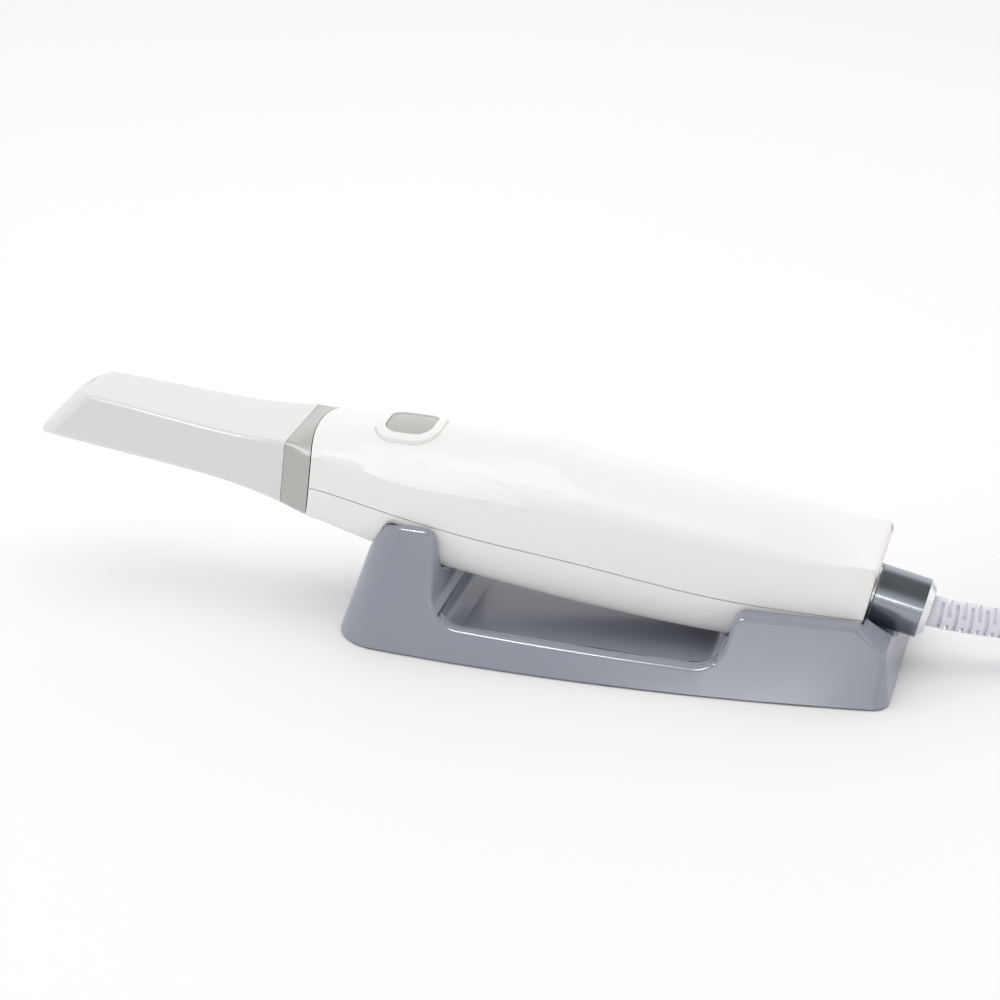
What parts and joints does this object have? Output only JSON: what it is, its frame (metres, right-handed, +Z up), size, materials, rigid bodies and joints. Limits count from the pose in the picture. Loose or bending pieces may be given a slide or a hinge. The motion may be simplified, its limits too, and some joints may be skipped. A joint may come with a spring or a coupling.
{
  "type": "intraoral scanner",
  "caption": "Hand-held dental intraoral scanner with a slanted slide-off tip and a button, corded, resting in its moulded desk cradle.",
  "frame": {"origin": "on the table, under the middle of the scanner and cradle together, cord not counted", "axes": "+Z up, +X from the scan tip to the cable end, the scanner tilted 6.8 degrees tip up"},
  "size_m": [0.3899, 0.1282, 0.0625],
  "materials": {
    "tip_plastic": "satin moulded",
    "mirror": "front-silvered",
    "collar_plastic": "satin moulded",
    "dark_plastic": "matt black moulded",
    "optical_glass": "polished and coated",
    "white_plastic": "fine satin moulded",
    "button_plastic": "satin moulded",
    "steel": "plated",
    "circuit_board": "solder mask",
    "black_aluminium": "black anodised",
    "aluminium": "milled",
    "brass": "turned",
    "nickel": "satin nickel plated",
    "cord_jacket": "matt moulded",
    "tie_strap": "matt",
    "cradle_plastic": "glossy moulded",
    "foot_rubber": "matt"
  },
  "bodies": {
    "root": {"front_collar": "collar_plastic", "optical_barrel": "dark_plastic", "barrel_window": "optical_glass", "upper_shell": "white_plastic", "lower_shell": "white_plastic", "button_bezel": "white_plastic", "tact_switch": "steel", "button_board": "circuit_board", "lens_barrel": "black_aluminium", "front_lens": "optical_glass", "rear_lens": "optical_glass", "beam_splitter": "optical_glass", "prism_bracket": "black_aluminium", "pattern_projector": "black_aluminium", "camera_board": "circuit_board", "image_sensor": "dark_plastic", "chassis_plate": "aluminium", "heat_sink": "aluminium", "board_standoffs": "brass", "main_board": "circuit_board", "board_chips": "dark_plastic", "board_screws": "steel", "case_screws": "steel", "cable_socket": "nickel", "plug_core": "nickel", "plug_insert": "dark_plastic", "strain_relief": "cord_jacket", "cord": "cord_jacket", "cord_tail": "cord_jacket", "cord_coil": "cord_jacket", "coil_tie": "tie_strap", "usb_shell": "steel", "usb_grip": "cord_jacket", "cradle": "cradle_plastic", "cradle_feet": "foot_rubber"},
    "tip": {"tip_sleeve": "tip_plastic", "tip_mirror": "mirror"},
    "button": {"button_cap": "button_plastic", "switch_plunger": "dark_plastic"},
    "release": {"release_sleeve": "nickel"}
  },
  "joints": [
    {"name": "tip_slide", "type": "slide", "parent": "root", "child": "tip", "axis": [-0.993, 0, 0.1184], "range_m": [0, 0.045]},
    {"name": "button_press", "type": "slide", "parent": "root", "child": "button", "axis": [-0.1184, 0, -0.993], "range_m": [0, 0.0008], "stiffness_N_per_m": 2500},
    {"name": "sleeve_release", "type": "slide", "parent": "root", "child": "release", "axis": [0.9748, 0, -0.2233], "range_m": [0, 0.002], "stiffness_N_per_m": 1500}
  ]
}
